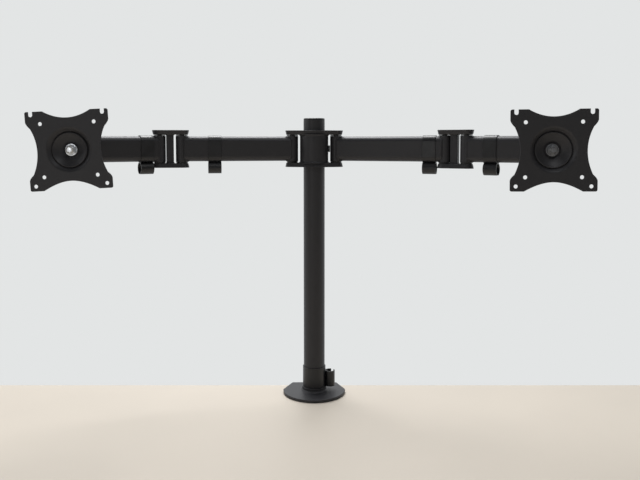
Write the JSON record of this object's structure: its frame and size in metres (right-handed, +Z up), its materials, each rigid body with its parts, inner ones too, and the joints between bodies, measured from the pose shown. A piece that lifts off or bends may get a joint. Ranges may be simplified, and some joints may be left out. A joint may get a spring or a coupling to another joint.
{
  "type": "monitor arm",
  "caption": "Desk-clamped pole with a sliding collar and two hinged arms, each ending in a tilting ball-joint plate for a monitor.",
  "frame": {"origin": "on the pole's axis, on the underside of the base pad, level with the desk top", "axes": "+Z up along the pole; the user sits at -Y; +X to the user's right"},
  "size_m": [0.7892, 0.2619, 0.6103],
  "materials": {
    "powder_coated_steel": "satin black powder coat with a fine texture",
    "moulded_plastic": "black moulded plastic",
    "nylon": "dark nylon",
    "zinc_steel": "bright zinc plate",
    "foam": "closed-cell foam"
  },
  "bodies": {
    "stand": {"base_pad": "foam", "base_plate": "powder_coated_steel", "pole": "powder_coated_steel", "pole_plug": "zinc_steel", "pole_bolt": "zinc_steel", "pole_cap": "moulded_plastic", "pole_clip": "moulded_plastic", "clamp_bracket": "powder_coated_steel", "clamp_bolt_left": "zinc_steel", "clamp_bolt_right": "zinc_steel"},
    "clamp_pad": {"clamp_pad": "moulded_plastic"},
    "clamp_screw": {"clamp_screw": "zinc_steel", "clamp_knob": "moulded_plastic"},
    "sleeve": {"collar_sleeve": "nylon"},
    "bracket": {"centre_bracket": "powder_coated_steel", "lock_screw": "zinc_steel", "left_shoulder_pin": "zinc_steel", "right_shoulder_pin": "zinc_steel", "left_shoulder_washer_upper": "nylon", "left_shoulder_washer_lower": "nylon", "right_shoulder_washer_upper": "nylon", "right_shoulder_washer_lower": "nylon"},
    "left_inner_arm": {"left_arm_1": "powder_coated_steel", "left_arm_1_clip": "moulded_plastic"},
    "left_link": {"left_elbow_link": "powder_coated_steel", "left_elbow_inner_pin": "zinc_steel", "left_elbow_outer_pin": "zinc_steel", "left_elbow_inner_washer_upper": "nylon", "left_elbow_inner_washer_lower": "nylon", "left_elbow_outer_washer_upper": "nylon", "left_elbow_outer_washer_lower": "nylon"},
    "left_outer_arm": {"left_arm_2": "powder_coated_steel", "left_arm_2_clip": "moulded_plastic"},
    "left_head": {"left_head_bracket": "powder_coated_steel", "left_head_pin": "zinc_steel", "left_head_bolt": "zinc_steel", "left_cup_washer": "powder_coated_steel", "left_head_nut": "zinc_steel"},
    "left_ball": {"left_head_liner": "nylon"},
    "left_plate": {"left_vesa_plate": "powder_coated_steel"},
    "right_inner_arm": {"right_arm_1": "powder_coated_steel", "right_arm_1_clip": "moulded_plastic"},
    "right_link": {"right_elbow_link": "powder_coated_steel", "right_elbow_inner_pin": "zinc_steel", "right_elbow_outer_pin": "zinc_steel", "right_elbow_inner_washer_upper": "nylon", "right_elbow_inner_washer_lower": "nylon", "right_elbow_outer_washer_upper": "nylon", "right_elbow_outer_washer_lower": "nylon"},
    "right_outer_arm": {"right_arm_2": "powder_coated_steel", "right_arm_2_clip": "moulded_plastic"},
    "right_head": {"right_head_bracket": "powder_coated_steel", "right_head_pin": "zinc_steel", "right_head_bolt": "zinc_steel", "right_cup_washer": "powder_coated_steel", "right_head_nut": "zinc_steel"},
    "right_ball": {"right_head_liner": "nylon"},
    "right_plate": {"right_vesa_plate": "powder_coated_steel"}
  },
  "joints": [
    {"name": "clamp_pad_lift", "type": "slide", "parent": "stand", "child": "clamp_pad", "axis": [0, 0, 1], "range_m": [-0.075, 0]},
    {"name": "clamp_screw_turn", "type": "hinge", "parent": "clamp_pad", "child": "clamp_screw", "pos_m": [0, 0, -0.1], "axis": [0, 0, 1], "range_deg": [-18001, 1]},
    {"name": "bracket_height", "type": "slide", "parent": "stand", "child": "sleeve", "axis": [0, 0, 1], "range_m": [-0.325, 0.017]},
    {"name": "bracket_turn", "type": "hinge", "parent": "sleeve", "child": "bracket", "pos_m": [0, 0, 0.41], "axis": [0, 0, 1], "continuous": true},
    {"name": "left_shoulder", "type": "hinge", "parent": "bracket", "child": "left_inner_arm", "pos_m": [-0.036, 0, 0.41], "axis": [0, 0, 1], "range_deg": [-100.5, 79.5]},
    {"name": "left_elbow_inner", "type": "hinge", "parent": "left_inner_arm", "child": "left_link", "pos_m": [-0.212, -0.03262, 0.41], "axis": [0, 0, -1], "range_deg": [-90.9, 89.1]},
    {"name": "left_elbow_outer", "type": "hinge", "parent": "left_link", "child": "left_outer_arm", "pos_m": [-0.24651, -0.03846, 0.41], "axis": [0, 0, -1], "range_deg": [-67.7, 112.3]},
    {"name": "left_head_pan", "type": "hinge", "parent": "left_outer_arm", "child": "left_head", "pos_m": [-0.34499, -0.09976, 0.41], "axis": [0, 0, 1], "range_deg": [-149.3, 30.7]},
    {"name": "left_head_tilt", "type": "hinge", "parent": "left_head", "child": "left_ball", "pos_m": [-0.34294, -0.19761, 0.41], "axis": [0.9998, 0.0209, 0], "range_deg": [-15.2, 12.8]},
    {"name": "left_plate_spin", "type": "hinge", "parent": "left_ball", "child": "left_plate", "pos_m": [-0.34294, -0.19761, 0.41], "axis": [0.0209, -0.9996, -0.0209], "continuous": true},
    {"name": "right_shoulder", "type": "hinge", "parent": "bracket", "child": "right_inner_arm", "pos_m": [0.036, 0, 0.41], "axis": [0, 0, 1], "range_deg": [-71, 109]},
    {"name": "right_elbow_inner", "type": "hinge", "parent": "right_inner_arm", "child": "right_link", "pos_m": [0.20525, -0.05828, 0.41], "axis": [0, 0, -1], "range_deg": [-99.7, 80.3]},
    {"name": "right_elbow_outer", "type": "hinge", "parent": "right_link", "child": "right_outer_arm", "pos_m": [0.23595, -0.07508, 0.41], "axis": [0, 0, -1], "range_deg": [-93, 87]},
    {"name": "right_head_pan", "type": "hinge", "parent": "right_outer_arm", "child": "right_head", "pos_m": [0.33464, -0.13604, 0.41], "axis": [0, 0, 1], "range_deg": [-25.3, 154.7]},
    {"name": "right_head_tilt", "type": "hinge", "parent": "right_head", "child": "right_ball", "pos_m": [0.32373, -0.23331, 0.41], "axis": [0.9938, -0.1115, 0], "range_deg": [-15.2, 12.8]},
    {"name": "right_plate_spin", "type": "hinge", "parent": "right_ball", "child": "right_plate", "pos_m": [0.32373, -0.23331, 0.41], "axis": [-0.1114, -0.9936, -0.0209], "continuous": true}
  ],
  "couplings": [
    {"joint": "clamp_screw_turn", "follows": "clamp_pad_lift", "rad_per_m": 4188.8}
  ]
}
